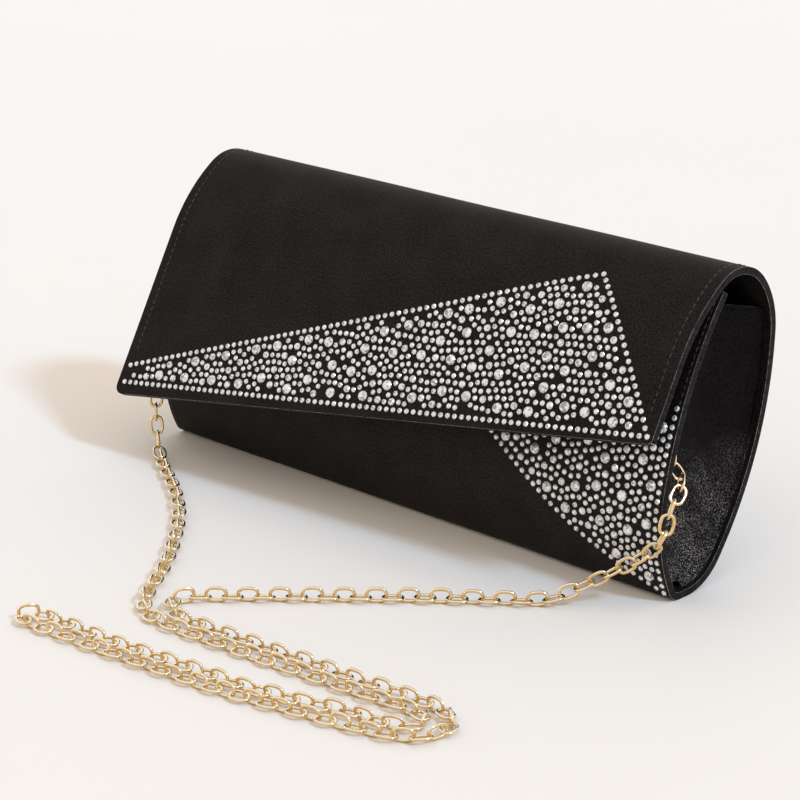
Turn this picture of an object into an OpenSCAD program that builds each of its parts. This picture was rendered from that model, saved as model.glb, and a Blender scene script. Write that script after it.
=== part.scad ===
// Evening clutch bag: a rigid wrap of board and satin with a slanted flap, two recessed end
// gussets, crystal panels and a removable chain strap.  Millimetres, +Z up, +Y to the back.
// The bag stands on its narrow bottom and leans back a little; the flap hangs just ajar.

/* [Bag] */
// Width of the bag, side to side
bag_w = 250; // [220:5:280]
// Satin cover thickness
cover_t = 0.4; // [0.3:0.1:0.6]
// Stiffening board thickness
board_t = 2.0; // [1.6:0.1:2.2]
// Lining thickness
lining_t = 0.4; // [0.3:0.1:0.6]
// Width of the flat strip the bag stands on
foot_w = 3; // [2:0.5:5]

/* [Flap] */
// Drop of the flap below its tangent point at the right side
flap_drop_right = 27.5; // [20:0.5:35]
// Drop of the flap at the left side, where it hangs lowest
flap_drop_left = 67; // [45:0.5:68]
// Radius of the flap's left corner
flap_corner_r = 5; // [2:0.5:8]
// Width of the slit that the fabric bridges at the flap's fold
fold_gap = 0.8; // [0.6:0.1:1.5]

/* [Gussets] */
// How far each end wall is set in from the end of the wrap
gusset_inset = 9.5; // [8:0.5:14]
// Gusset fabric thickness
gusset_t = 0.8; // [0.6:0.1:1.2]
// Height of the gusset's top edge at the front
gusset_top = 98.5; // [90:0.5:99]
// Fall of the gusset's top edge per millimetre towards the back
gusset_slope = 0.22; // [0:0.02:0.3]

/* [Crystals] */
// Spacing of the crystal rows
row_pitch = 3.3; // [3:0.1:4]
// Diameter of the small crystals
small_d = 2.2; // [1.8:0.1:2.4]
// Diameter of the medium crystals
medium_d = 2.8; // [2.4:0.1:3]
// Diameter of the large crystals
large_d = 3.9; // [3.2:0.1:4.2]

/* [Magnetic snap] */
// Diameter of each snap half
snap_d = 14; // [10:1:18]
// Height of the half on the front panel
snap_female_h = 3; // [2:0.1:3.2]

/* [Chain strap] */
// Width of the chain as it lies
chain_d = 5; // [4:0.5:5]
// Inner width of the D-rings
ring_inner = 8; // [7:0.5:9]
// Diameter of the D-ring wire
ring_wire = 1.4; // [1.2:0.1:1.6]

/* [Hidden] */

$fn = 48;
eps = 0.01;
wall_t = cover_t + board_t + lining_t;
half_w = bag_w / 2;

// ---- Cross-section -------------------------------------------------------------------------
// Two chains of tangent arcs, [radius, sweep], run from the foot strip: one up the front panel,
// one up the back, over the top and down the flap.  Every band of cover, board or lining is a
// slice of them, measured by depth below the outer face.
foot_y = -6.4;
front_arcs = [[5.3, 64.5], [55, 37.5], [166, 24.1]];
back_arcs = [[21.5, 52], [129, 35.5], [28.5, 43], [16.7, 83.5], [66, 27]];
FRONT = -1;
BACK = 1;
arc_step = 4;
flap_straight = 70;

function arc_len(a) = a[0] * a[1] * PI / 180;
function total(arcs, n) = n == 0 ? 0 : arc_len(arcs[n - 1]) + total(arcs, n - 1);
front_len = total(front_arcs, 3);
fold_s = total(back_arcs, 3);
flap_s = total(back_arcs, 5);

function start_of(side) = side == FRONT ? [foot_y, 0, 180] : [foot_y + foot_w, 0, 0];
function left_of(h) = [-sin(h), cos(h)];

// Station [y, z, heading] after going a length s round an arc of radius r from station p.
function along_arc(p, side, r, s) =
  let (h = p[2] + side * s / r * 180 / PI, c = [p[0], p[1]] + side * r * left_of(p[2]))
  let (q = c - side * r * left_of(h))
  [q[0], q[1], h];
function along_line(p, s) = [p[0] + s * cos(p[2]), p[1] + s * sin(p[2]), p[2]];

// Station at length s from the foot strip; past the last arc the outline runs straight on.
function station(side, s) = walk(side == FRONT ? front_arcs : back_arcs, side, start_of(side), s, 0);
function walk(arcs, side, p, s, i) =
  i == len(arcs) ? along_line(p, s) :
  s <= arc_len(arcs[i]) ? along_arc(p, side, arcs[i][0], s) :
  walk(arcs, side, along_arc(p, side, arcs[i][0], arc_len(arcs[i])), s - arc_len(arcs[i]), i + 1);

// Lengths at which every band has a corner: the arcs' ends and even steps between them.
function knots(arcs) = concat(
  [for (i = [0:len(arcs) - 1])
    let (a = total(arcs, i), b = total(arcs, i + 1), n = ceil(arcs[i][1] / arc_step))
    for (k = [0:n - 1]) a + (b - a) * k / n],
  [total(arcs, len(arcs)), total(arcs, len(arcs)) + 2 * flap_straight]);
front_knots = knots(front_arcs);
back_knots = knots(back_arcs);
function knots_of(side) = side == FRONT ? front_knots : back_knots;

function at_depth(p, side, d) = [p[0], p[1]] + side * d * left_of(p[2]);
// Point on the cornered outline at any length, so that every band shares the same corners.
function facet_point(side, s, d) =
  let (k = knots_of(side), i = max([for (i = [0:len(k) - 2]) if (k[i] <= s + eps || i == 0) i]))
  let (a = at_depth(station(side, k[i]), side, d), b = at_depth(station(side, k[i + 1]), side, d))
  a + (b - a) * (s - k[i]) / (k[i + 1] - k[i]);
function line_at(side, s0, s1, d) = concat(
  [facet_point(side, s0, d)],
  [for (s = knots_of(side)) if (s > s0 + 2 * eps && s < s1 - 2 * eps) at_depth(station(side, s), side, d)],
  [facet_point(side, s1, d)]);
function reversed(v) = [for (i = [len(v) - 1:-1:0]) v[i]];

// The whole run from the front panel at length f, down round the foot, to the back at length b.
function wrap_line(f, b, d) = concat(reversed(line_at(FRONT, 0, f, d)), line_at(BACK, 0, b, d));

module along_x(x0, x1) {
  translate([x0, 0, 0]) rotate([90, 0, 90]) linear_extrude(x1 - x0) children();
}
// Slice of the wrap between two depths.
module wrap_band(f, b, d0, d1, x0, x1) {
  along_x(x0, x1) polygon(concat(wrap_line(f, b, d0), reversed(wrap_line(f, b, d1))));
}
// Slice of one side only, from length s0 to s1.
module side_band(side, s0, s1, d0, d1, x0, x1) {
  along_x(x0, x1) polygon(concat(line_at(side, s0, s1, d0), reversed(line_at(side, s0, s1, d1))));
}
// Puts children on the outer face at (x, s): their +Z points outwards, +X stays across the bag.
module on_face(side, x, s, depth = 0) {
  q = facet_point(side, s, depth);
  translate([x, q[0], q[1]]) rotate([station(side, s)[2] + (side == BACK ? 180 : 0), 0, 0]) children();
}

// ---- Wrap ----------------------------------------------------------------------------------
edge_turn = 7;
fold_clear = fold_gap / 2;
body_end = fold_s - fold_clear;
board_gap = 1.5;
bottom_reach = 12;
snap_s = front_len - 37;
stem_d = 3;
stem_play = 0.1;
washer_d = 16;
washer_t = 0.5;
washer_sink = 0.3;

// Cover skin with the turned edge that closes each end and returns inside.
module skin(f, b) {
  wrap_band(f, b, 0, cover_t, -half_w, half_w);
  for (m = [0, 1]) mirror([m, 0, 0]) {
    wrap_band(f, b, cover_t, wall_t, half_w - cover_t, half_w);
    wrap_band(f, b, wall_t - lining_t, wall_t, half_w - edge_turn, half_w - cover_t);
  }
  side_band(FRONT, f - cover_t, f, cover_t, wall_t, -half_w, half_w);
}
module stem_hole() {
  on_face(FRONT, 0, snap_s, wall_t + 1) cylinder(h = wall_t + 2, d = stem_d + 2 * stem_play);
}
module washer_pocket() {
  on_face(FRONT, 0, snap_s, cover_t + board_t)
    translate([0, 0, -1]) cylinder(h = washer_t + washer_sink + 1.2, d = washer_d + 0.4);
}
module outer_cover() {
  color("#17171a") difference() {
    skin(front_len, body_end);
    stem_hole();
  }
}
module front_board() {
  color("#8a7a62") difference() {
    side_band(FRONT, bottom_reach + board_gap, front_len - cover_t, cover_t, cover_t + board_t,
      -half_w + cover_t, half_w - cover_t);
    stem_hole();
    washer_pocket();
  }
}
module bottom_board() {
  color("#8a7a62") wrap_band(bottom_reach, bottom_reach, cover_t, cover_t + board_t,
    -half_w + cover_t, half_w - cover_t);
}
module back_board() {
  color("#8a7a62") side_band(BACK, bottom_reach + board_gap, body_end, cover_t, cover_t + board_t,
    -half_w + cover_t, half_w - cover_t);
}
module body_lining() {
  color("#3c3c42") wrap_band(front_len - cover_t, body_end, wall_t - lining_t, wall_t,
    -half_w + edge_turn, half_w - edge_turn);
}
pocket_w = 120;
pocket_from = 32;
pocket_to = 82;
module slip_pocket() {
  color("#3c3c42") side_band(BACK, pocket_from, pocket_to, wall_t, wall_t + lining_t,
    -pocket_w / 2, pocket_w / 2);
}

// ---- Flap ----------------------------------------------------------------------------------
flap_from = fold_s + fold_clear;
flap_to = flap_s + flap_straight;
flap_reach = 160;
flap_depth = 90;
corner_steps = 6;
edge_angle = atan((flap_drop_left - flap_drop_right) / bag_w);

// Flap outline on its flat part: x across, y up the slope from the point where the flap turns flat.
function flap_outline() = concat(
  [[half_w, flap_reach], [-half_w, flap_reach]],
  [for (k = [0:corner_steps])
    let (a = 180 + k * (90 + edge_angle) / corner_steps)
    [-half_w + flap_corner_r, -flap_drop_left + flap_corner_r * 1.15]
      + flap_corner_r * [cos(a), sin(a)]],
  [[half_w, -flap_drop_right]]);

module on_flap() {
  p = station(BACK, flap_s);
  translate([0, p[0], p[1]]) rotate([p[2] + 180, 0, 0]) children();
}
// Flap outline as a block that trims every flap layer; inset keeps the board inside its cover.
module flap_cut(inset = 0) {
  on_flap() translate([0, 0, -flap_depth]) linear_extrude(flap_depth + 10)
    intersection() {
      translate([0, inset]) polygon(flap_outline());
      translate([-half_w + inset, -flap_reach]) square([bag_w - 2 * inset, 2 * flap_reach]);
    }
}
module flap_band(d0, d1, inset = 0) {
  intersection() {
    side_band(BACK, flap_from, flap_to, d0, d1, -half_w, half_w);
    flap_cut(inset);
  }
}
module flap_cover() {
  color("#17171a") {
    flap_band(0, cover_t);
    difference() {
      flap_band(cover_t, wall_t);
      flap_cut(cover_t);
    }
  }
}
module flap_board() {
  color("#8a7a62") difference() {
    flap_band(cover_t, cover_t + board_t, cover_t);
    flap_stem_hole();
    flap_washer_pocket();
  }
}
module flap_lining() {
  color("#3c3c42") difference() {
    flap_band(wall_t - lining_t, wall_t, cover_t);
    flap_stem_hole();
  }
}

// ---- Gussets -------------------------------------------------------------------------------
flange_end = 1.5;
flange_t = 0.6;
gusset_x = half_w - gusset_inset;
big = 400;

// Everything below the gusset's sloping top edge.
module below_gusset_top() {
  along_x(-half_w, half_w) polygon([[-big, -big], [big, -big], [big, gusset_top - gusset_slope * big],
    [-big, gusset_top + gusset_slope * big]]);
}
module gusset() {
  color("#101012") intersection() {
    union() {
      along_x(gusset_x - gusset_t, gusset_x) polygon(wrap_line(front_len, body_end, wall_t));
      wrap_band(front_len, body_end, wall_t, wall_t + flange_t, gusset_x - gusset_t,
        half_w - flange_end);
    }
    below_gusset_top();
  }
}
module gusset_right() { gusset(); }
module gusset_left() { mirror([1, 0, 0]) gusset(); }

// ---- Stitching -----------------------------------------------------------------------------
stitch_w = 0.5;
stitch_h = 0.2;
body_stitch_in = 0.4;
flap_stitch_in = 4;
module body_stitching() {
  color("#2a2a2e") wrap_band(front_len - 1, body_end - 1, -stitch_h, 0,
    half_w - body_stitch_in - stitch_w, half_w - body_stitch_in);
}
module flap_stitching(drop) {
  color("#2a2a2e") side_band(BACK, flap_from + 1, flap_s + drop, -stitch_h, 0,
    half_w - flap_stitch_in - stitch_w, half_w - flap_stitch_in);
}
module body_stitching_right() { body_stitching_above_foot(); }
module body_stitching_left() { mirror([1, 0, 0]) body_stitching_above_foot(); }
// The thread sinks into the satin where the bag stands on it.
module body_stitching_above_foot() {
  intersection() {
    body_stitching();
    translate([0, -big / 2, 1]) cube([big, big, big]);
  }
}
// The flap's thread ends where its crystals begin.
stitch_clear_right = 9;
stitch_clear_left = 15;
module flap_stitching_right() { flap_stitching(flap_drop_right - stitch_clear_right); }
module flap_stitching_left() {
  mirror([1, 0, 0]) flap_stitching(flap_drop_left - stitch_clear_left);
}

// ---- Magnetic snap -------------------------------------------------------------------------
// The two halves meet when the flap has closed by close_angle about the fold.
close_angle = 0.5;
snap_gap = 1;
pin_d = 2.6;
pin_h = 1.2;
socket_d = 4;
socket_h = 2;
fold_p = station(BACK, fold_s);

module front_snap() {
  color("#c9a24a") {
    on_face(FRONT, 0, snap_s) difference() {
      cylinder(h = snap_female_h, d = snap_d);
      translate([0, 0, snap_female_h - socket_h]) cylinder(h = socket_h + eps, d = socket_d);
    }
    on_face(FRONT, 0, snap_s, cover_t + board_t) cylinder(h = cover_t + board_t + eps, d = stem_d);
  }
}
module front_snap_washer() {
  color("#b9b9bd") on_face(FRONT, 0, snap_s, cover_t + board_t - washer_sink) difference() {
    cylinder(h = washer_t, d = washer_d);
    translate([0, 0, -eps]) cylinder(h = washer_t + 2 * eps, d = stem_d);
  }
}
// Flap half: the snap's axis drops square from the flap's inner face onto the closed front half.
module at_flap_snap() {
  p = station(BACK, flap_s);
  closed = at_depth(station(FRONT, snap_s), FRONT, -snap_female_h);
  away = closed - [fold_p[0], fold_p[1]];
  opened = [fold_p[0], fold_p[1]] + [cos(close_angle) * away[0] + sin(close_angle) * away[1],
    -sin(close_angle) * away[0] + cos(close_angle) * away[1]];
  along = [cos(p[2]), sin(p[2])];
  s = (opened - [p[0], p[1]]) * along;
  q = at_depth(along_line(p, s), BACK, wall_t);
  translate([0, q[0], q[1]]) rotate([p[2], 0, 0]) children();
}
function snap_room() =
  let (p = station(BACK, flap_s), closed = at_depth(station(FRONT, snap_s), FRONT, -snap_female_h))
  let (away = closed - [fold_p[0], fold_p[1]])
  let (opened = [fold_p[0], fold_p[1]] + [cos(close_angle) * away[0] + sin(close_angle) * away[1],
    -sin(close_angle) * away[0] + cos(close_angle) * away[1]])
  (opened - [p[0], p[1]]) * left_of(p[2]) - wall_t;
male_h = snap_room() - snap_gap;
module flap_snap() {
  color("#c9a24a") at_flap_snap() {
    cylinder(h = male_h, d = snap_d);
    translate([0, 0, male_h - eps]) cylinder(h = pin_h + eps, d = pin_d);
    translate([0, 0, -board_t - lining_t]) cylinder(h = board_t + lining_t + eps, d = stem_d);
  }
}
module flap_stem_hole() {
  at_flap_snap() translate([0, 0, -wall_t + cover_t]) cylinder(h = wall_t + 1, d = stem_d + 2 * stem_play);
}
module flap_washer_pocket() {
  at_flap_snap() translate([0, 0, -board_t - lining_t - 0.2])
    cylinder(h = washer_t + washer_sink + 0.4, d = washer_d + 0.4);
}
module flap_snap_washer() {
  color("#b9b9bd") at_flap_snap() translate([0, 0, -board_t - lining_t + washer_sink]) difference() {
    cylinder(h = washer_t, d = washer_d);
    translate([0, 0, -eps]) cylinder(h = washer_t + 2 * eps, d = stem_d);
  }
}

// ---- Strap hardware inside each end --------------------------------------------------------
// A fabric tab on the gusset holds a D-ring; a lobster clasp stands up from the ring and the
// chain goes on from its eye over the gusset's top edge.
hw_y = 17;
bar_z = 70;
ring_x = gusset_x - gusset_t - 4.2;
ring_r = ring_inner / 2;
ring_rise = 3.5;
tab_t = 0.5;
tab_h = 9;
tab_w = 7;
clasp_t = 2.4;
hook_r = 3.5;
hook_in = 2;
pin_hole_d = 1;
pin_play = 0.05;
eye_r = 1.9;
eye_in = 0.9;
hook_z = bar_z + ring_rise + ring_r + 0.1;
eye_z = hook_z + 9.5;
lever_from = 305;
lever_to = 355;
tip_gap = 12;
pin_gap = 17;
lever_pin_r = (hook_r + hook_in) / 2;
lever_t = 1.6;
lever_eye_r = 0.95;
cheek_t = 0.3;
cheek_l = 2.6;
cheek_turn = 12;

module rod_y(h, d) { rotate([90, 0, 0]) cylinder(h = h, d = d, center = true); }
module d_ring_right() {
  color("#d9b45a") translate([ring_x, hw_y, bar_z]) {
    rod_y(ring_inner + ring_wire, ring_wire);
    for (m = [-1, 1]) {
      translate([0, m * (ring_r + ring_wire / 2), 0]) cylinder(h = ring_rise, d = ring_wire);
      translate([0, m * (ring_r + ring_wire / 2), 0]) sphere(d = ring_wire);
    }
    translate([0, 0, ring_rise]) rotate([90, 0, 90])
      rotate_extrude(angle = 180) translate([ring_r + ring_wire / 2, 0]) circle(d = ring_wire, $fn = 24);
  }
}
// Fabric loop round the ring's straight bar, with both ends sewn flat to the gusset.
module ring_tab_right() {
  bore = ring_wire + 0.1;
  reach = gusset_x - gusset_t - ring_x;
  color("#101012") translate([ring_x, hw_y, bar_z]) difference() {
    union() {
      rod_y(tab_w, bore + 2 * tab_t);
      translate([0, -tab_w / 2, -bore / 2 - tab_t]) cube([reach, tab_w, bore / 2 + tab_t]);
      translate([reach - 2 * tab_t, -tab_w / 2, -tab_h]) cube([2 * tab_t, tab_w, tab_h]);
    }
    rod_y(tab_w + 1, bore);
  }
}
module sector(r, a0, a1) {
  polygon(concat([[0, 0]], [for (k = [0:4]) let (a = a0 + (a1 - a0) * k / 4) r * [cos(a), sin(a)]]));
}
// Hook ring with its gate sector left open, a neck and the eye for the chain.
module clasp_right() {
  color("#d9b45a") translate([ring_x, hw_y, hook_z]) rotate([90, 0, 0])
    translate([0, 0, -clasp_t / 2]) linear_extrude(clasp_t) difference() {
      union() {
        circle(r = hook_r);
        translate([-1.2, hook_in + 0.5]) square([2.4, eye_z - hook_z - hook_in - 1.5]);
        translate([0, eye_z - hook_z]) circle(r = eye_r);
      }
      circle(r = hook_in);
      translate([0, eye_z - hook_z]) circle(r = eye_in);
      gate_side() sector(2 * hook_r, lever_from - tip_gap, lever_to + pin_gap);
    }
}
// The gate faces the middle of the bag, away from the gusset.
module gate_side() { mirror([1, 0, 0]) children(); }
// Sprung lever that closes the gate; it turns on a pin at its upper end.
module clasp_lever_right() {
  color("#e2c06a") translate([ring_x, hw_y, hook_z]) rotate([90, 0, 0])
    gate_side() translate([0, 0, -lever_t / 2]) difference() {
      union() {
        linear_extrude(lever_t) intersection() {
          difference() {
            circle(r = hook_r);
            circle(r = hook_in);
          }
          sector(2 * hook_r, lever_from, lever_to - 10);
        }
        lever_pin_place() cylinder(h = lever_t, r = lever_eye_r);
        rotate([0, 0, lever_from + 22]) translate([hook_r - 0.4, -0.6, 0]) cube([1.5, 1.2, lever_t]);
      }
      lever_pin_place() translate([0, 0, -1]) cylinder(h = 4, d = pin_hole_d + 2 * pin_play);
    }
}
module lever_pin_place() {
  rotate([0, 0, lever_to - 6]) translate([lever_pin_r, 0, 0]) children();
}
module clasp_pin_right() {
  color("#d9b45a") translate([ring_x, hw_y, hook_z]) rotate([90, 0, 0]) gate_side() {
    translate([0, 0, -clasp_t / 2]) lever_pin_place() cylinder(h = clasp_t, d = pin_hole_d);
    for (z = [-clasp_t / 2, clasp_t / 2 - cheek_t]) lever_pin_place() translate([0, -0.5, z])
      rotate([0, 0, cheek_turn]) cube([1, cheek_l, cheek_t]);
  }
}
link_r = 2.6;
link_wire = 1;
module end_link_right() {
  color("#e2c06a") translate([ring_x, hw_y, eye_z + link_r - 0.1]) rotate([0, 90, 0])
    rotate_extrude() translate([link_r, 0]) circle(d = link_wire, $fn = 24);
}
module ring_tab_left() { mirror([1, 0, 0]) ring_tab_right(); }
module d_ring_left() { mirror([1, 0, 0]) d_ring_right(); }
module clasp_left() { mirror([1, 0, 0]) clasp_right(); }
module clasp_lever_left() { mirror([1, 0, 0]) clasp_lever_right(); }
module clasp_pin_left() { mirror([1, 0, 0]) clasp_pin_right(); }
module end_link_left() { mirror([1, 0, 0]) end_link_right(); }

// ---- Crystals ------------------------------------------------------------------------------
// Each field is a slim polygon laid flat on the face: x across, s along the cross-section.
crystal_sink = 0.05;
SMALL = 0;
MEDIUM = 1;
LARGE = 2;
flap_field = [[-121.5, flap_s + 61.5], [122.5, flap_s + 25.5], [80.5, flap_s - 23.5],
  [-121.5, flap_s + 55]];
front_field = [[47, 47], [122.5, 6.5], [122.5, 71]];

function cross2(a, b) = a[0] * b[1] - a[1] * b[0];
function inside_by(p, t, m) =
  let (w = cross2(t[1] - t[0], t[2] - t[0]) > 0 ? 1 : -1, n = len(t))
  min([for (i = [0:n - 1]) let (a = t[i], b = t[(i + 1) % n]) w * cross2(b - a, p - a) / norm(b - a)]) >= m;
// Repeating rule that picks which places on the grid carry a bigger crystal.
function grade(i, j) =
  (i + 5 * j) % 19 == 0 ? LARGE : (3 * i + 2 * j) % 7 == 0 ? MEDIUM : SMALL;
// Staggered grid over a field: rows follow its first edge.
function field(t, size) =
  let (u = (t[1] - t[0]) / norm(t[1] - t[0]), v = [-u[1], u[0]] * (cross2(u, t[2] - t[0]) > 0 ? 1 : -1))
  let (n = ceil(norm(t[1] - t[0]) / row_pitch), m = ceil(abs((t[2] - t[0]) * v) / row_pitch))
  [for (j = [0:m]) for (i = [-n:2 * n])
    let (p = t[0] + u * row_pitch * 1.12 * (i + (j % 2) / 2) + v * row_pitch * j)
    if (inside_by(p, t, -0.01) && grade(i + 3 * n, j) == size) p];
module crystal(d) {
  h = d * 0.42;
  translate([0, 0, -crystal_sink]) cylinder(h = h, d1 = d * 0.9, d2 = d * 0.45, $fn = 13);
}
module crystals(side, t, size, d) {
  color("#e8ebf0") for (p = field(t, size)) on_face(side, p[0], p[1]) crystal(d * 0.9);
}
module flap_crystals_small() { crystals(BACK, flap_field, SMALL, small_d); }
module flap_crystals_medium() { crystals(BACK, flap_field, MEDIUM, medium_d); }
module flap_crystals_large() { crystals(BACK, flap_field, LARGE, large_d * 0.9); }
module front_crystals_small() { crystals(FRONT, front_field, SMALL, small_d); }
module front_crystals_medium() { crystals(FRONT, front_field, MEDIUM, medium_d); }
module front_crystals_large() { crystals(FRONT, front_field, LARGE, large_d * 0.9); }

// ---- Chain strap ---------------------------------------------------------------------------
// Route of the chain's centre line from the left clasp to the right clasp.
route = [
  [-110.5, 17, 92.2], [-111.2, 17, 95.5], [-114, 17, 98.5], [-117.5, 17, 99], [-120.5, 16.5, 96],
  [-121.5, 12, 88], [-122.5, 6.5, 77], [-126, 2, 71.5], [-128.8, -4, 67], [-127.5, -10.5, 62],
  [-122, -15.5, 56], [-117, -20, 46], [-113.5, -25, 35], [-112, -31, 23], [-111, -32.5, 12],
  [-107, -35, 4.5], [-101, -39, 2.6], [-93, -44, 2.6], [-81, -51, 2.6], [-70, -58, 2.6],
  [-57, -67.5, 2.6], [-45, -78, 2.6], [-33, -90, 2.6], [-22, -102, 2.6], [-12, -114.5, 2.6],
  [-4, -125.5, 2.6], [3, -133, 2.6], [11, -138, 2.6], [22, -139.5, 2.6], [33, -139, 2.6],
  [45, -138, 2.6], [65, -136.3, 2.6], [86, -134.4, 2.6], [108, -132.8, 2.6], [123, -131, 2.6],
  [131, -132, 2.6], [134.5, -136, 2.6], [131, -140.5, 2.6], [124, -143, 2.6], [111, -145, 2.6],
  [92, -151, 2.6], [72, -155, 2.6], [53, -157, 2.6], [33, -159.5, 2.6], [12, -161.5, 2.6],
  [-4, -162, 2.6], [-13, -162.7, 2.6], [-17.5, -166, 2.6], [-13, -169.5, 2.6], [-3, -168.8, 2.6],
  [8, -167.8, 2.6], [26, -166.2, 2.6], [48, -164, 2.6], [70, -161.3, 2.6], [91, -157.3, 2.6],
  [110, -153.2, 2.6], [121, -150.8, 2.6], [131.5, -148, 2.6], [139, -143.5, 2.6],
  [142.5, -136, 2.6], [139.5, -128.5, 2.6], [131, -124.5, 2.6], [118, -124.7, 2.6],
  [103, -126.5, 2.6], [82, -128.3, 2.6], [61, -130, 2.6], [41, -132, 2.6], [30, -132.7, 2.6],
  [20, -132.3, 2.6], [12.5, -129.5, 2.6], [8.5, -124.5, 2.6], [11, -118.5, 2.6],
  [17, -112.5, 2.6], [28, -102, 2.6], [40, -90.7, 2.6], [54, -78, 2.6], [67, -66, 2.6],
  [87, -50, 2.6], [97, -41.5, 3], [104, -33.5, 6], [112, -27, 11.5], [119, -23, 16.5],
  [125, -20.5, 21.5], [128.3, -18.9, 27], [128.8, -17.6, 32], [128.9, -15.4, 36.8],
  [128.3, -11, 40.8], [124, -6.9, 43.4], [120, -5.9, 47], [118.8, -4.6, 51.5],
  [118.5, -2.6, 57.5], [118.4, 0, 66], [118.4, 5.1, 77], [118.4, 10.8, 87], [118.4, 14.6, 93],
  [118.2, 16.9, 97.3], [116.2, 17.8, 99.4], [113.4, 17.7, 99.2], [111.3, 17.3, 96.2],
  [110.5, 17, 92.2]
];
chain_sides = 8;

function unit(v) = v / norm(v);
function heading_at(r, i) =
  let (a = r[max(i - 1, 0)], b = r[i], c = r[min(i + 1, len(r) - 1)])
  i == 0 ? unit(c - b) : i == len(r) - 1 ? unit(b - a) : unit(unit(b - a) + unit(c - b));
function square_to(u, t) = unit(u - (u * t) * t);
function carried(t, u, i) =
  let (w = square_to(u, t[i])) i == len(t) - 1 ? [w] : concat([w], carried(t, w, i + 1));
module tube(r, d, sides) {
  t = [for (i = [0:len(r) - 1]) heading_at(r, i)];
  u = carried(t, [1, 0, 0], 0);
  points = [for (i = [0:len(r) - 1]) for (k = [0:sides - 1])
    let (a = 360 * k / sides) r[i] + d / 2 * (cos(a) * u[i] + sin(a) * cross(t[i], u[i]))];
  walls = [for (i = [0:len(r) - 2]) for (k = [0:sides - 1])
    let (a = i * sides + k, b = i * sides + (k + 1) % sides) [a, a + sides, b + sides, b]];
  ends = [[for (k = [0:sides - 1]) k], [for (k = [sides - 1:-1:0]) (len(r) - 1) * sides + k]];
  polyhedron(points, concat(walls, ends));
}
module chain_strap() {
  color("#e0b95c") tube(route, chain_d, chain_sides);
}

// ---- Assembly ------------------------------------------------------------------------------
outer_cover();
front_board();
bottom_board();
back_board();
body_lining();
slip_pocket();
flap_cover();
flap_board();
flap_lining();
gusset_left();
gusset_right();
body_stitching_left();
body_stitching_right();
flap_stitching_left();
flap_stitching_right();
front_snap();
front_snap_washer();
flap_snap();
flap_snap_washer();
ring_tab_left();
ring_tab_right();
d_ring_left();
d_ring_right();
clasp_left();
clasp_right();
clasp_lever_left();
clasp_lever_right();
clasp_pin_left();
clasp_pin_right();
end_link_left();
end_link_right();
flap_crystals_small();
flap_crystals_medium();
flap_crystals_large();
front_crystals_small();
front_crystals_medium();
front_crystals_large();
chain_strap();
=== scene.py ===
"""Evening clutch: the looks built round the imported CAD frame.  Shapes are worked out in
millimetres from the same cross-section as the part and turned into metres when a mesh is made."""

import math
import random

import bmesh
import bpy
import numpy as np
from mathutils import Matrix, Vector


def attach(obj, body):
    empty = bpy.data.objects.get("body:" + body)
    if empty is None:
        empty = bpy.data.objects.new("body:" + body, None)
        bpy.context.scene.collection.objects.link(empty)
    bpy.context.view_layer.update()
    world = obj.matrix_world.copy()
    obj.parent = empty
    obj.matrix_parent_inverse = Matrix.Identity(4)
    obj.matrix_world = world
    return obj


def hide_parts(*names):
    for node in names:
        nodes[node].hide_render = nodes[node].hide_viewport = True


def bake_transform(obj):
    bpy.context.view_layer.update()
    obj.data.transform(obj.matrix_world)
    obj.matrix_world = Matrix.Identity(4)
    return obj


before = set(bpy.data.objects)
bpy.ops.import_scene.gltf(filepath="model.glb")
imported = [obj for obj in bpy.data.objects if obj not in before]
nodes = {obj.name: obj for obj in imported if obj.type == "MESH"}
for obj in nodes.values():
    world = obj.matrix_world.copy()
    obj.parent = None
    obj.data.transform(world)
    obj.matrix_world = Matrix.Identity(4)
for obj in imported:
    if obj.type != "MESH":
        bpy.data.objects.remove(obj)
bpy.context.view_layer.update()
MM = 0.001
rng = random.Random(20)

# ---- Camera -----------------------------------------------------------------------------------
AZIMUTH = 0.795321
ELEVATION = 0.321349
ROLL = -0.0124827
VIEW_FROM = Vector((0.646975, -0.64561, 0.3434755))
LENS = 121.197


def make_camera():
    """Looks along AZIMUTH, down by ELEVATION and rolled by ROLL, all in radians."""
    ca, sa = math.cos(AZIMUTH), math.sin(AZIMUTH)
    ce, se = math.cos(ELEVATION), math.sin(ELEVATION)
    forward = Vector((-sa * ce, ca * ce, -se))
    level = Vector((ca, sa, 0))
    rise = level.cross(forward)
    right = level * math.cos(ROLL) + rise * math.sin(ROLL)
    up = rise * math.cos(ROLL) - level * math.sin(ROLL)
    data = bpy.data.cameras.new("camera")
    data.lens = LENS
    data.sensor_width = 36
    data.clip_start = 0.05
    data.clip_end = 20
    camera = bpy.data.objects.new("camera", data)
    bpy.context.scene.collection.objects.link(camera)
    turn = Matrix((right, up, -forward)).transposed()
    camera.matrix_world = Matrix.Translation(VIEW_FROM) @ turn.to_4x4()
    bpy.context.scene.camera = camera


make_camera()

# ---- Materials --------------------------------------------------------------------------------
THREAD_GRAIN = 1300.0
# Painted glints on the gusset: speck size, the heights in metres where they start and are full,
# and their colour.
PAINTED_GLINT_GRAIN = 2500
PAINTED_GLINT_TOP = 0.05
PAINTED_GLINT_FULL = 0.02
PAINTED_GLINT_COLOR = (0.36, 0.34, 0.33)
SCUFF_GRAIN = 900
FIBRE_GRAIN = 900


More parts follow.
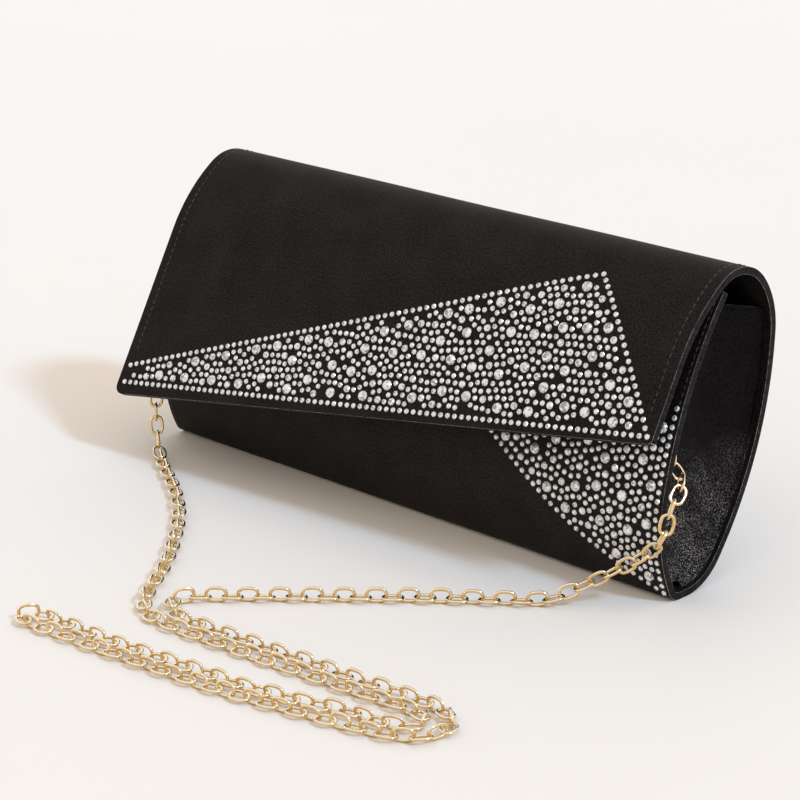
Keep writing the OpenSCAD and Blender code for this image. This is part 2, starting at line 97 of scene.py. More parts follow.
class Shade:
    """A small helper round one Principled material's nodes."""

    def __init__(self, name, color, roughness, metallic=0.0):
        self.mat = bpy.data.materials.new(name)
        self.mat.use_nodes = True
        self.tree = self.mat.node_tree
        self.out = self.tree.nodes["Principled BSDF"]
        self.set("Base Color", (*color, 1))
        self.set("Roughness", roughness)
        self.set("Metallic", metallic)

    @classmethod
    def over(cls, material):
        """The same helper round a material that is already made."""
        made = cls.__new__(cls)
        made.mat = material
        made.tree = material.node_tree
        made.out = made.tree.nodes["Principled BSDF"]
        return made

    def maths(self, operation, a, b):
        """The operation on two outputs."""
        made = self.node("ShaderNodeMath")
        made.operation = operation
        self.link(a, made.inputs[0])
        self.link(b, made.inputs[1])
        return made.outputs[0]

    def set(self, socket, value):
        """A constant straight on one of the shader's sockets."""
        self.out.inputs[socket].default_value = value

    def node(self, kind, **inputs):
        made = self.tree.nodes.new(kind)
        for key, value in inputs.items():
            made.inputs[key.replace("_", " ")].default_value = value
        return made

    def link(self, a, b):
        self.tree.links.new(a, b)

    def place(self, where):
        return self.node("ShaderNodeTexCoord").outputs[where]

    def noise(self, vector, scale, detail=3.0, roughness=0.5):
        made = self.node("ShaderNodeTexNoise", Scale=scale, Detail=detail, Roughness=roughness)
        self.link(vector, made.inputs["Vector"])
        return made.outputs["Fac"]

    def ramp(self, fac, stops):
        made = self.node("ShaderNodeValToRGB")
        while len(made.color_ramp.elements) < len(stops):
            made.color_ramp.elements.new(0.5)
        for element, (at, color) in zip(made.color_ramp.elements, stops):
            element.position = at
            element.color = (*color, 1)
        self.link(fac, made.inputs["Fac"])
        return made.outputs["Color"]

    def span(self, fac, low, high):
        """An output from 0 to 1 stretched to low to high."""
        made = self.node("ShaderNodeMapRange", To_Min=low, To_Max=high)
        self.link(fac, made.inputs["Value"])
        return made.outputs["Result"]

    def blend(self, a, b, share):
        """Two values mixed, with this share of b."""
        made = self.node("ShaderNodeMix")
        made.inputs["Factor"].default_value = share
        self.link(a, made.inputs["A"])
        self.link(b, made.inputs["B"])
        return made.outputs["Result"]

    def bump(self, height, distance, strength=1.0, after=None):
        made = self.node("ShaderNodeBump", Strength=strength, Distance=distance)
        self.link(height, made.inputs["Height"])
        if after is not None:
            self.link(after, made.inputs["Normal"])
        return made.outputs["Normal"]

    def drive(self, socket, output):
        self.link(output, self.out.inputs[socket])


def cloth_material(name, dark, light, rough, shine, grain, where="UV"):
    """Satin-like cloth: speckled threads, grain mm high, under a soft mottle.

    rough is the least and most roughness; shine is the specular level, then the sheen."""
    s = Shade(name, dark, rough[0])
    v = s.place(where)
    mottle = s.noise(v, 55, 4)
    fine = s.noise(v, THREAD_GRAIN, 2, 0.6)
    s.drive("Base Color", s.ramp(s.blend(mottle, fine, 0.8), [(0.4, dark), (0.64, light)]))
    s.drive("Roughness", s.span(fine, rough[0], rough[1]))
    s.drive("Normal", s.bump(mottle, 0.25 * MM, 0.35, s.bump(fine, grain * MM)))
    s.set("Specular IOR Level", shine[0])
    s.set("Sheen Weight", shine[1])
    s.set("Sheen Roughness", 0.4)
    s.set("Sheen Tint", (0.8, 0.76, 0.8, 1))
    return s.mat


def add_painted_glints(material):
    """Painted glints: light specks painted into the base colour in soft patches, only low down
    where the cloth catches the light.
    """
    s = Shade.over(material)
    v = s.place("Object")
    cloth = s.out.inputs["Base Color"].links[0].from_socket
    low = s.node("ShaderNodeMapRange", From_Min=PAINTED_GLINT_TOP, From_Max=PAINTED_GLINT_FULL)
    parts = s.node("ShaderNodeSeparateXYZ")
    s.link(v, parts.inputs["Vector"])
    s.link(parts.outputs["Z"], low.inputs["Value"])
    patch = s.maths("MULTIPLY", s.span(s.noise(v, 75, 3, 0.6), -1.1, 2.6), low.outputs["Result"])
    specks = s.ramp(s.noise(v, PAINTED_GLINT_GRAIN, 2, 0.7),
                    [(0.54, (0, 0, 0)), (0.64, (1, 1, 1))])
    painted_glint_amount = s.maths("MULTIPLY", patch, specks)
    # Light specks mixed into the base colour: painted glints.
    painted_glint = s.node("ShaderNodeMix")
    painted_glint.data_type = "RGBA"
    s.link(painted_glint_amount, painted_glint.inputs["Factor"])
    s.link(cloth, painted_glint.inputs["A"])
    painted_glint.inputs["B"].default_value = (*PAINTED_GLINT_COLOR, 1)
    s.drive("Base Color", painted_glint.outputs["Result"])


def metal_material(name, color, deep, rough, patch=70.0, painted_top_light=0.0):
    """Plated metal, uneven in patches; the last argument paints what faces up paler than the sides
    and hollows: painted light and shade.
    """
    s = Shade(name, color, rough[0], 1.0)
    v = s.place("Object")
    tone = s.noise(v, patch, 3)
    # Up-facing surfaces painted paler, sides and hollows darker: painted light and shade.
    if painted_top_light:
        facing = s.node("ShaderNodeSeparateXYZ")
        s.link(s.place("Normal"), facing.inputs["Vector"])
        tone = s.blend(tone, s.span(facing.outputs["Z"], 0.12, 0.95), painted_top_light)
    scuff = s.noise(v, SCUFF_GRAIN, 3, 0.65)
    s.drive("Base Color", s.ramp(tone, [(0.33, deep), (0.56, color)]))
    s.drive("Roughness", s.span(scuff, rough[0], rough[1]))
    s.drive("Normal", s.bump(scuff, 0.02 * MM, 0.35))
    return s.mat


def crystal_material(name):
    """Foil-backed clear stone: each facet carries a tone of painted reflection, light or dark, in
    a colour attribute.
    """
    s = Shade(name, (0.95, 0.96, 0.98), 0.1, 0.35)
    tone = s.tree.nodes.new("ShaderNodeVertexColor")
    tone.layer_name = "facet"
    s.drive("Base Color", tone.outputs["Color"])
    v = s.place("Object")
    s.drive("Roughness", s.span(s.noise(v, 600, 2), 0.08, 0.22))
    s.set("Coat Weight", 0.6)
    s.set("Coat Roughness", 0.04)
    s.set("Specular IOR Level", 0.8)
    return s.mat


def board_material():
    """Grey-brown pressed board with short fibres."""
    s = Shade("pressed_board", (0.42, 0.36, 0.27), 0.85)
    v = s.place("Object")
    fibre = s.noise(v, FIBRE_GRAIN, 5, 0.7)
    s.drive("Base Color", s.ramp(fibre, [(0.3, (0.3, 0.25, 0.18)), (0.7, (0.5, 0.44, 0.34))]))
    s.drive("Normal", s.bump(fibre, 0.1 * MM, 0.5))
    return s.mat


SATIN = cloth_material("black_satin", (0.001, 0.0008, 0.0009), (0.021, 0.0175, 0.0185),
                       (0.5, 0.7), (0.11, 0.0), 0.06)
# Lighter satin on the rounded edges and the hems' tops: a painted highlight.
PAINTED_EDGE_HIGHLIGHT = cloth_material("satin_painted_edge_highlight", (0.06, 0.054, 0.058), (0.6, 0.55, 0.57),
                     (0.35, 0.5), (0.4, 0.2), 0.06, "Object")
GUSSET = cloth_material("gusset_satin", (0.0005, 0.0004, 0.0004), (0.0075, 0.0062, 0.0066),
                        (0.3, 0.5), (0.05, 0.0), 0.1, "Object")
# The gusset's lower part carries painted glints in its base colour.
add_painted_glints(GUSSET)
# The lining is made near-black to match the shade in the bag's mouth; its own colour is not known,
# so its darkness is painted shade.
LINING = cloth_material("lining_painted_shade", (0.004, 0.004, 0.0045), (0.012, 0.012, 0.013),
                        (0.32, 0.45), (0.2, 0.0), 0.04)
THREAD = cloth_material("black_thread", (0.012, 0.011, 0.012), (0.075, 0.07, 0.075),
                        (0.35, 0.55), (0.4, 0.1), 0.05, "Object")
# The chain's fine dark patches are painted dark reflections, and what faces up is painted paler
# than its sides and hollows: painted light and shade.
GOLD = metal_material("chain_gold", (1.0, 0.96, 0.81), (0.74, 0.52, 0.23),
                      (0.06, 0.16), 420.0, 0.6)
FITTING = metal_material("fitting_gold", (0.95, 0.73, 0.4), (0.85, 0.6, 0.28), (0.14, 0.28))
STEEL = metal_material("plated_steel", (0.66, 0.66, 0.68), (0.5, 0.5, 0.53), (0.2, 0.4))
BOARD = board_material()
STONE = crystal_material("crystal")

# ---- Cross-section ----------------------------------------------------------------------------
# Seen from the end: the wrap's outer line runs from a flat foot up the front and up the back and
# over the top.  Each arc is (radius in mm, sweep in degrees).  Places along it are given as sigma,
# the length in mm from the front edge of the foot, below 0 up the front.
FOOT_Y = -6.4
FOOT_W = 3.0
FRONT_ARCS = [(5.3, 64.5), (55, 37.5), (166, 24.1)]
BACK_ARCS = [(21.5, 52), (129, 35.5), (28.5, 43), (16.7, 83.5), (66, 27)]
HALF_W = 125.0
WALL = 2.5


def arc_len(arc):
    """Length of one (radius, sweep) arc."""
    return arc[0] * math.radians(arc[1])


FRONT_LEN = sum(map(arc_len, FRONT_ARCS))
FOLD_S = sum(map(arc_len, BACK_ARCS[:3]))
FLAP_S = sum(map(arc_len, BACK_ARCS))


def walk(arcs, side, start, s):
    """Place and heading in degrees after a length s of the chain of arcs, then straight on."""
    y, z, h = start
    for radius, sweep in arcs:
        step = min(s, arc_len((radius, sweep)))
        a = math.radians(h)
        cy, cz = y - side * radius * math.sin(a), z + side * radius * math.cos(a)
        h += side * math.degrees(step / radius)
        a = math.radians(h)
        y, z = cy + side * radius * math.sin(a), cz - side * radius * math.cos(a)
        s -= step
        if s <= 0:
            return y, z, h
    a = math.radians(h)
    return y + s * math.cos(a), z + s * math.sin(a), h


def on_wrap(sigma, depth=0.0):
    """(y, z) on the wrap: sigma is below 0 up the front, above FOOT_W up the back and the flap."""
    if sigma < 0:
        side, (y, z, h) = -1, walk(FRONT_ARCS, -1, (FOOT_Y, 0, 180), -sigma)
    elif sigma <= FOOT_W:
        side, (y, z, h) = 1, (FOOT_Y + sigma, 0, 0)
    else:
        side, (y, z, h) = 1, walk(BACK_ARCS, 1, (FOOT_Y + FOOT_W, 0, 0), sigma - FOOT_W)
    a = math.radians(h)
    return y - side * depth * math.sin(a), z + side * depth * math.cos(a)


def outward(sigma):
    """The wrap's outward normal, 1 mm long."""
    (y0, z0), (y1, z1) = on_wrap(sigma, 1), on_wrap(sigma)
    return np.array((0, y1 - y0, z1 - z0))


def wrap_point(x, sigma, depth=0.0):
    """The point on the wrap at x, or at this depth below its outer face."""
    return (x, *on_wrap(sigma, depth))


# ---- Mesh helpers -----------------------------------------------------------------------------
THIN_CLOTH = 0.25


def new_object(name, points, faces, material, uvs=None, smooth=True):
    """A mesh object from millimetre points; uvs are one pair in metres for each point."""
    mesh = bpy.data.meshes.new(name)
    mesh.from_pydata([tuple(c * MM for c in p) for p in points], [], faces)
    if uvs is not None:
        layer = mesh.uv_layers.new(name="UVMap")
        for loop in mesh.loops:
            layer.data[loop.index].uv = uvs[loop.vertex_index]
    mesh.materials.append(material)
    mesh.polygons.foreach_set("use_smooth", [smooth] * len(mesh.polygons))
    made = bpy.data.objects.new(name, mesh)
    bpy.context.scene.collection.objects.link(made)
    return made


def settle(obj):
    """Applies the object's modifiers to its mesh."""
    bpy.context.view_layer.update()
    graph = bpy.context.evaluated_depsgraph_get()
    mesh = bpy.data.meshes.new_from_object(
        obj.evaluated_get(graph), preserve_all_data_layers=True, depsgraph=graph
    )
    obj.modifiers.clear()
    obj.data = mesh
    return obj


def grid_faces(rows, cols):
    """Quads between the neighbours of a grid of points kept row by row."""
    corners = [r * cols + c for r in range(rows - 1) for c in range(cols - 1)]
    return [(a, a + 1, a + cols + 1, a + cols) for a in corners]


def grid_object(name, grid, material, uvs=None):
    """A sheet through rows of points, with uvs in rows too."""
    rows, cols = len(grid), len(grid[0])
    flat = [p for row in grid for p in row]
    pairs = None if uvs is None else [p for row in uvs for p in row]
    return new_object(name, flat, grid_faces(rows, cols), material, pairs)


def face_towards(obj, index, aim):
    """Turns the whole sheet over if its face number index looks away from aim."""
    if obj.data.polygons[index].normal.dot(Vector(aim)) < 0:
        obj.data.flip_normals()


def thicken(obj, thickness, bevel=0.0, edge_highlight=None):
    """Gives a sheet its thickness on the inner side; the rounded edges can take a lighter material
    of painted highlight.
    """
    solid = obj.modifiers.new("solid", "SOLIDIFY")
    solid.thickness = thickness * MM
    solid.offset = -1
    solid.use_even_offset = True
    if edge_highlight is not None:
        obj.data.materials.append(edge_highlight)
    if bevel > 0:
        soft = obj.modifiers.new("soft", "BEVEL")
        soft.width = bevel * MM
        soft.segments = 3
        soft.limit_method = "ANGLE"
        soft.angle_limit = math.radians(50)
        soft.material = 0 if edge_highlight is None else 1
    return settle(obj)


def even_normals(obj):
    """Shades the large faces flat and the small ones of an edge round."""
    made = obj.modifiers.new("normals", "WEIGHTED_NORMAL")
    made.keep_sharp = False
    made.weight = 80
    return settle(obj)


def spread(start, stop, step):
    """Even values from start to stop, no further apart than step."""
    count = max(1, math.ceil(abs(stop - start) / step - 1e-6))
    return [start + (stop - start) * k / count for k in range(count + 1)]


def merged(*runs):
    """Rising runs of values as one, without what repeats where they meet."""
    out = []
    for run in runs:
        out += [v for v in run if not out or v > out[-1] + 1e-6]
    return out


def keep_faces(obj, name, test):
    """A copy of obj with only the faces whose mean sigma, kept in the UVs, passes the test."""
    bm = bmesh.new()
    bm.from_mesh(obj.data)
    layer = bm.loops.layers.uv.verify()
    gone = []
    for face in bm.faces:
        v = sum(loop[layer].uv.y for loop in face.loops) / len(face.loops)
        if not test(v / MM):
            gone.append(face)
    bmesh.ops.delete(bm, geom=gone, context="FACES")
    mesh = bpy.data.meshes.new(name)
    bm.to_mesh(mesh)
    bm.free()
    for material in obj.data.materials:
        mesh.materials.append(material)
    made = bpy.data.objects.new(name, mesh)
    bpy.context.scene.collection.objects.link(made)
    return made


def joined(name, parts, material):
    """Many small (points, faces) parts as one mesh object."""
    points, faces = [], []
    for part_points, part_faces in parts:
        base = len(points)
        points += part_points
        faces += [tuple(base + i for i in f) for f in part_faces]
    made = new_object(name, points, faces, material)
    return made


# ---- Chain strap ------------------------------------------------------------------------------
# The chain's centre line in mm from the left end link to the right one, as in the CAD tube.
ROUTE = [
    (-110.5, 17, 92.2), (-111.2, 17, 95.5), (-114, 17, 98.5), (-117.5, 17, 99),
    (-120.5, 16.5, 96), (-121.5, 12, 88), (-122.5, 6.5, 77), (-126, 2, 71.5), (-128.8, -4, 67),
    (-127.5, -10.5, 62), (-122, -15.5, 56), (-117, -20, 46), (-113.5, -25, 35), (-112, -31, 23),
    (-111, -32.5, 12), (-107, -35, 4.5), (-101, -39, 2.6), (-93, -44, 2.6), (-81, -51, 2.6),
    (-70, -58, 2.6), (-57, -67.5, 2.6), (-45, -78, 2.6), (-33, -90, 2.6), (-22, -102, 2.6),
    (-12, -114.5, 2.6), (-4, -125.5, 2.6), (3, -133, 2.6), (11, -138, 2.6), (22, -139.5, 2.6),
    (33, -139, 2.6), (45, -138, 2.6), (65, -136.3, 2.6), (86, -134.4, 2.6), (108, -132.8, 2.6),
    (123, -131, 2.6), (131, -132, 2.6), (134.5, -136, 2.6), (131, -140.5, 2.6), (124, -143, 2.6),
    (111, -145, 2.6), (92, -151, 2.6), (72, -155, 2.6), (53, -157, 2.6), (33, -159.5, 2.6),
    (12, -161.5, 2.6), (-4, -162, 2.6), (-13, -162.7, 2.6), (-17.5, -166, 2.6),
    (-13, -169.5, 2.6), (-3, -168.8, 2.6), (8, -167.8, 2.6), (26, -166.2, 2.6), (48, -164, 2.6),
    (70, -161.3, 2.6), (91, -157.3, 2.6), (110, -153.2, 2.6), (121, -150.8, 2.6),
    (131.5, -148, 2.6), (139, -143.5, 2.6), (142.5, -136, 2.6), (139.5, -128.5, 2.6),
    (131, -124.5, 2.6), (118, -124.7, 2.6), (103, -126.5, 2.6), (82, -128.3, 2.6),
    (61, -130, 2.6), (41, -132, 2.6), (30, -132.7, 2.6), (20, -132.3, 2.6), (12.5, -129.5, 2.6),
    (8.5, -124.5, 2.6), (11, -118.5, 2.6), (17, -112.5, 2.6), (28, -102, 2.6), (40, -90.7, 2.6),
    (54, -78, 2.6), (67, -66, 2.6), (87, -50, 2.6), (97, -41.5, 3), (104, -33.5, 6),
    (112, -27, 11.5), (119, -23, 16.5), (125, -20.5, 21.5), (128.3, -18.9, 27),
    (128.8, -17.6, 32), (128.9, -15.4, 36.8), (128.3, -11, 40.8), (124, -6.9, 43.4),
    (120, -5.9, 47), (118.8, -4.6, 51.5), (118.5, -2.6, 57.5), (118.4, 0, 66), (118.4, 5.1, 77),
    (118.4, 10.8, 87), (118.4, 14.6, 93), (118.2, 16.9, 97.3), (116.2, 17.8, 99.4),
    (113.4, 17.7, 99.2), (111.3, 17.3, 96.2), (110.5, 17, 92.2),
]
LINK_PITCH = 5.3
LINK_LONG = 7.8
LINK_WIDE = 5.5
WIRE_W = 1.12
WIRE_T = 0.95
LYING_BELOW = 4
ROLL_PLAY = 13
HANGING_PLAY = 1.3
FLOOR_GAP = 0.02
DROP_MOST = 0.9


def smooth_path(points, step=0.6):
    """Catmull-Rom samples through the points."""
    p = np.array(points, float)
    p = np.vstack([2 * p[0] - p[1], p, 2 * p[-1] - p[-2]])
    out = []
    for a, b, c, d in zip(p[:-3], p[1:-2], p[2:-1], p[3:]):
        for t in np.linspace(0, 1, max(2, int(np.linalg.norm(c - b) / step)), endpoint=False):
            out.append(0.5 * (2 * b + (c - a) * t + (2 * a - 5 * b + 4 * c - d) * t * t
                              + (3 * b - a - 3 * c + d) * t ** 3))
    return np.array([*out, p[-2]])


def oval_link(long, wide, wire_w, wire_t, around=26, section=8):
    """One link lying in its XY plane: an oval ring of slightly flattened wire."""
    points, faces = [], []
    a, b = (long - wire_w) / 2, (wide - wire_w) / 2
    straight = a - b
    for i in range(around):
        t = 2 * math.pi * i / around
        c, s = math.cos(t), math.sin(t)
        centre = np.array((math.copysign(straight, c) * min(1, abs(c) * 2.2) + b * c, b * s, 0))
        aim = np.array((c, s, 0))
        for k in range(section):
            u = 2 * math.pi * (k + 0.5) / section
            du, dz = math.cos(u), math.sin(u)
            push = 1 / (abs(du) ** 3 + abs(dz) ** 3) ** (1 / 3)
            p = centre + aim * (wire_w / 2 * du * push) + np.array((0, 0, wire_t / 2 * dz * push))
            points.append(p)
            j, m = (i + 1) % around, (k + 1) % section
            faces.append((i * section + k, j * section + k, j * section + m, i * section + m))
    return np.array(points), faces


def carried_ups(heads, middle):
    """An up direction for each link, carried both ways from a middle one that lies flat."""
    ups = [None] * len(heads)
    ups[middle] = np.array((0.0, 0, 1))
    for order in (range(middle + 1, len(heads)), range(middle - 1, -1, -1)):
        last = ups[middle]
        for i in order:
            last = last - heads[i] * (last @ heads[i])
            last /= np.linalg.norm(last)
            ups[i] = last
    return ups


def make_chain():
    """Oval links threaded along the route, each a quarter turn from the one before."""
    path = smooth_path(ROUTE)
    gaps = np.linalg.norm(np.diff(path, axis=0), axis=1)
    along = np.concatenate([[0], np.cumsum(gaps)])
    count = round((along[-1] - LINK_LONG * 0.8) / LINK_PITCH) + 1
    first = (along[-1] - (count - 1) * LINK_PITCH) / 2
    places = first + LINK_PITCH * np.arange(count)

    def route_at(s):
        return np.array([np.interp(s, along, path[:, k]) for k in range(3)])

    centres = [route_at(s) for s in places]
    heads = []
    for s in places:
        d = route_at(s + LINK_PITCH * 0.42) - route_at(s - LINK_PITCH * 0.42)
        heads.append(d / np.linalg.norm(d))
    ups = carried_ups(heads, int(np.argmin([c[1] for c in centres])))
    ring, faces = oval_link(LINK_LONG, LINK_WIDE, WIRE_W, WIRE_T)
    parts = []
    for i, (c, t, u) in enumerate(zip(centres, heads, ups)):
        on_floor = c[2] < LYING_BELOW
        play = rng.uniform(-ROLL_PLAY, ROLL_PLAY) * (1 if on_floor else HANGING_PLAY)
        roll = math.radians((90 if i % 2 else 0) + play)
        side = np.cross(u, t)
        across = side * math.cos(roll) + u * math.sin(roll)
        normal = np.cross(t, across)
        pts = c + ring[:, :1] * t + ring[:, 1:2] * across + ring[:, 2:] * normal
        spare = pts[:, 2].min() - FLOOR_GAP
        if on_floor and (spare < 0 or i % 2 == 0):
            pts[:, 2] -= min(spare, DROP_MOST)
        parts.append(([tuple(p) for p in pts], faces))
    chain = joined("gold_chain", parts, GOLD)
    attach(chain, "shell")
    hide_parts("chain_strap")
    print("chain length by route", round(along[-1], 1), "links", count)


make_chain()

# ---- Wrap: one stiff sheet from the front's top edge round the foot to the flap's tip ----------
DROP_LEFT = 67.0
DROP_RIGHT = 27.5
CORNER_R = 3.4
CORNER_TALL = 1.15
RIGHT_CORNER_R = 2.0
EDGE_SLOPE = (DROP_LEFT - DROP_RIGHT) / (2 * HALF_W)
EDGE_ANGLE = math.degrees(math.atan(EDGE_SLOPE))
EDGE_ROUND = 0.7
SEAM_SIGMA = FOOT_W + 24.0
FOLD_SIGMA = FOOT_W + FOLD_S
FLAP_SIGMA = FOOT_W + FLAP_S
FLAP_ROWS = 26
EVEN_EDGE = 120


def flap_drop(x):
    """Length of the flap's straight end at x."""
    return DROP_LEFT - (x + HALF_W) * EDGE_SLOPE


def flap_columns():
    """(x, drop) along the flap's lower edge, with both corners rounded."""
    out = []
    cx, cy = -HALF_W + CORNER_R, DROP_LEFT - CORNER_R * CORNER_TALL
    for k in range(9):
        a = math.radians(180 + (90 + EDGE_ANGLE) * k / 8)
        out.append((cx + CORNER_R * math.cos(a), cy - CORNER_R * math.sin(a)))
    out += [(x, flap_drop(x)) for x in spread(-116, 116, 4)]
    r = RIGHT_CORNER_R
    cx, cy = HALF_W - r, flap_drop(HALF_W - r) - r / math.cos(math.radians(EDGE_ANGLE))
    for k in range(7):
        a = math.radians(270 + EDGE_ANGLE + (90 - EDGE_ANGLE) * k / 6)
        out.append((cx + r * math.cos(a), cy - r * math.sin(a)))
    return out


def wrap_stations():
    """Fixed lengths along the wrap up to where the flap turns flat."""
    return merged(
        spread(-FRONT_LEN, -20, 3), spread(-20, 0, 0.8), spread(0, FOOT_W, 1),
        spread(FOOT_W, FOOT_W + 20, 1.2), spread(FOOT_W + 20, SEAM_SIGMA, 1),
        spread(SEAM_SIGMA, FOLD_SIGMA - 24, 2.5), spread(FOLD_SIGMA - 24, FOLD_SIGMA - 2, 1.2),
        spread(FOLD_SIGMA - 2, FOLD_SIGMA + 2, 0.25), spread(FOLD_SIGMA + 2, FLAP_SIGMA, 1.3),
    )


def gentle(x, sigma):
    """Slow waviness of a covered board, outwards, in millimetres."""
    if FLAP_SIGMA - 30 < sigma or sigma < -60:
        return 0.0
    return 0.12 * math.sin(x / 23 + sigma / 31) * math.sin(sigma / 17 - x / 61)


def make_wrap():
    """The satin with its board: one sheet, cut at SEAM_SIGMA into a part held on the shell and a
    part past the seam that is not attached.
    """
    columns = flap_columns()
    fixed = wrap_stations()
    grid, uvs = [], []
    for sigma in fixed:
        grid.append([wrap_point(x, sigma, -gentle(x, sigma) if abs(x) < EVEN_EDGE else 0)
                     for x, _ in columns])
        uvs.append([(x * MM, sigma * MM) for x, _ in columns])
    for j in range(1, FLAP_ROWS + 1):
        share = j / FLAP_ROWS
        grid.append([wrap_point(x, FLAP_SIGMA + drop * share) for x, drop in columns])
        uvs.append([(x * MM, (FLAP_SIGMA + drop * share) * MM) for x, drop in columns])
    sheet = grid_object("wrap", grid, SATIN, uvs)
    face_towards(sheet, 0, outward(fixed[0]))
    thicken(sheet, WALL, EDGE_ROUND, PAINTED_EDGE_HIGHLIGHT)
    front = keep_faces(sheet, "front_and_foot_satin", lambda v: v < SEAM_SIGMA)
    back = keep_faces(sheet, "back_and_flap_satin", lambda v: v >= SEAM_SIGMA)
    bpy.data.objects.remove(sheet)
    for piece in (front, back):
        even_normals(piece)
    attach(front, "shell")
    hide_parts("outer_cover")
    bend(back)
    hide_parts("outer_cover", "flap_cover")


def bend(piece):
    """The piece crosses the fold; its transform is baked into its mesh, and it is not attached to
    the shell or the flap."""
    y, z = on_wrap(FOLD_SIGMA)
    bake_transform(piece)


make_wrap()

# ---- Lining -----------------------------------------------------------------------------------
LINING_INSET = 7.0
LINING_DEPTH = WALL + 0.12
LINING_T = 0.3
LINING_SHORT = 7
TAIL_ROWS = 14


def lining_sheet(name, stations, xs, tail=False):
    """A sheet on the wrap's inner face; with a tail it runs on to a slanted end on the flap."""
    grid = [[wrap_point(x, s, LINING_DEPTH) for x in xs] for s in stations]
    uvs = [[(x * MM, s * MM) for x in xs] for s in stations]
    if tail:
        for j in range(1, TAIL_ROWS + 1):
            line = [FLAP_SIGMA + (flap_drop(x) - LINING_SHORT) * j / TAIL_ROWS for x in xs]
            grid.append([wrap_point(x, s, LINING_DEPTH) for x, s in zip(xs, line)])
            uvs.append([(x * MM, s * MM) for x, s in zip(xs, line)])
    made = grid_object(name, grid, LINING, uvs)
    face_towards(made, 0, -outward(stations[0]))
    thicken(made, LINING_T)
    return even_normals(made)


def make_lining():
    """The lining in two sheets that meet at the wrap's own seam."""
    xs = spread(-HALF_W + LINING_INSET, HALF_W - LINING_INSET, 6)
    fixed = wrap_stations()
    low = [s for s in fixed if -FRONT_LEN + 4 < s < SEAM_SIGMA] + [SEAM_SIGMA]
    front = lining_sheet("front_lining", [-FRONT_LEN + 3, *low], xs)
    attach(front, "shell")
    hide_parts("body_lining")
    high = [SEAM_SIGMA] + [s for s in fixed if s > SEAM_SIGMA]
    back = lining_sheet("back_and_flap_lining", high, xs, tail=True)
    bend(back)
    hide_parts("body_lining", "flap_lining")


make_lining()

# ---- Pocket -----------------------------------------------------------------------------------
POCKET_HALF = 60
POCKET_FROM = FOOT_W + 32
POCKET_TO = FOOT_W + 82
POCKET_DEPTH = WALL + 0.45
POCKET_GAPE = 1.1


def make_pocket():
    """A flat pocket on the back's inner face, its mouth standing off a little in the middle."""
    xs = spread(-POCKET_HALF, POCKET_HALF, 4)
    rows = spread(POCKET_FROM, POCKET_TO, 2.5)

    def gape(x, s):
        rise = (s - POCKET_FROM) / (POCKET_TO - POCKET_FROM)
        return POCKET_GAPE * rise ** 3 * math.cos(x / POCKET_HALF * math.pi / 2) ** 2

    grid = [[wrap_point(x, s, POCKET_DEPTH + gape(x, s)) for x in xs] for s in rows]
    for lift, rise in ((0.28, 0.3), (0.28, -2.7), (0.0, -3.1)):
        depths = [WALL + 0.5 + lift + gape(x, POCKET_TO) for x in xs]
        grid.append([wrap_point(x, POCKET_TO + rise, d) for x, d in zip(xs, depths)])
    uvs = [[(p[0] * MM, (p[1] + p[2]) * MM) for p in row] for row in grid]
    pocket = grid_object("pocket_panel", grid, LINING, uvs)
    face_towards(pocket, 0, -outward(POCKET_FROM))
    thicken(pocket, THIN_CLOTH)
    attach(pocket, "shell")
    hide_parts("slip_pocket")


make_pocket()

# ---- Gussets ----------------------------------------------------------------------------------
GUSSET_INSET = 9.5
GUSSET_X = HALF_W - GUSSET_INSET
GUSSET_BACK_X = 121.0
HEM_LOW = 0.965
GUSSET_TOP = 98.5
GUSSET_SLOPE = 0.22
FLANGE_END = 1.8
FLANGE_T = 0.55
FOLD_R = 1.6
GUSSET_T = 0.45
GUSSET_ROWS = 65
GUSSET_ACROSS = 18
FOOT_SHARE = 0.012
DEEP_TO = 0.42
HEM_SECTION = [(0.0, 1.0), (0.32, 1.0), (0.45, 0.9), (0.45, 0.15), (0.3, 0.0), (-0.05, 0.0)]
HEM_STITCH_PITCH = 2.4
HEM_STITCH_RISE = 0.45
HEM_STITCH_PROUD = 0.48


def gusset_reach(sign):
    """Length of the wrap, each way from the foot, at which the gusset's top edge meets it."""
    low, high = 40.0, FRONT_LEN if sign < 0 else FOLD_S
    for _ in range(40):
        mid = (low + high) / 2
        y, z = on_wrap(-mid if sign < 0 else FOOT_W + mid, WALL)
        if z < GUSSET_TOP - GUSSET_SLOPE * y:
            low = mid
        else:
            high = mid
    return low


def gusset_rail(sign, share):
    """Place on the wrap, at a share of the gusset's height, on the front (-1) or back (1)."""
    reach = gusset_reach(sign)
    return -reach * share if sign < 0 else FOOT_W + reach * share


def ease(t):
    """A smooth step from 0 to 1."""
    t = min(1.0, max(0.0, t))
    return t * t * (3 - 2 * t)


def fold_x(sign, share):
    """Where the panel leaves its flange: deep in front for the chain, shallow at the back."""
    if sign > 0:
        return GUSSET_BACK_X
    return GUSSET_BACK_X + (GUSSET_X - GUSSET_BACK_X) * ease(share / DEEP_TO)


def flange_section(sign, share):
    """(x, depth) across the glued flange and its fold."""
    x = fold_x(sign, share)
    out = [(HALF_W - FLANGE_END, WALL + 0.02), (HALF_W - FLANGE_END - 0.35, WALL + FLANGE_T),
           (x + FOLD_R, WALL + FLANGE_T)]
    for k in range(1, 5):
        a = math.radians(90 * k / 4)
        out.append((x + FOLD_R * (1 - math.sin(a)), WALL + FLANGE_T + FOLD_R * (1 - math.cos(a))))
    return out


def gusset_web(u, w, shifts):
    """x of the panel at share u from front to back and w up, sagging in with soft dents."""
    x = fold_x(-1, w) + (fold_x(1, w) - fold_x(-1, w)) * ease(u)
    dents = 0.35 * math.sin(9 * u + 7 * w + shifts[0]) * math.sin(5 * w + shifts[1])
    dents += 0.18 * math.sin(17 * w - 6 * u + shifts[2])
    sag = 2.2 * ease(w / 0.5) + dents * min(1, 3 * (1 - w) + 0.25)
    return x - (4 * u * (1 - u)) ** 0.7 * sag


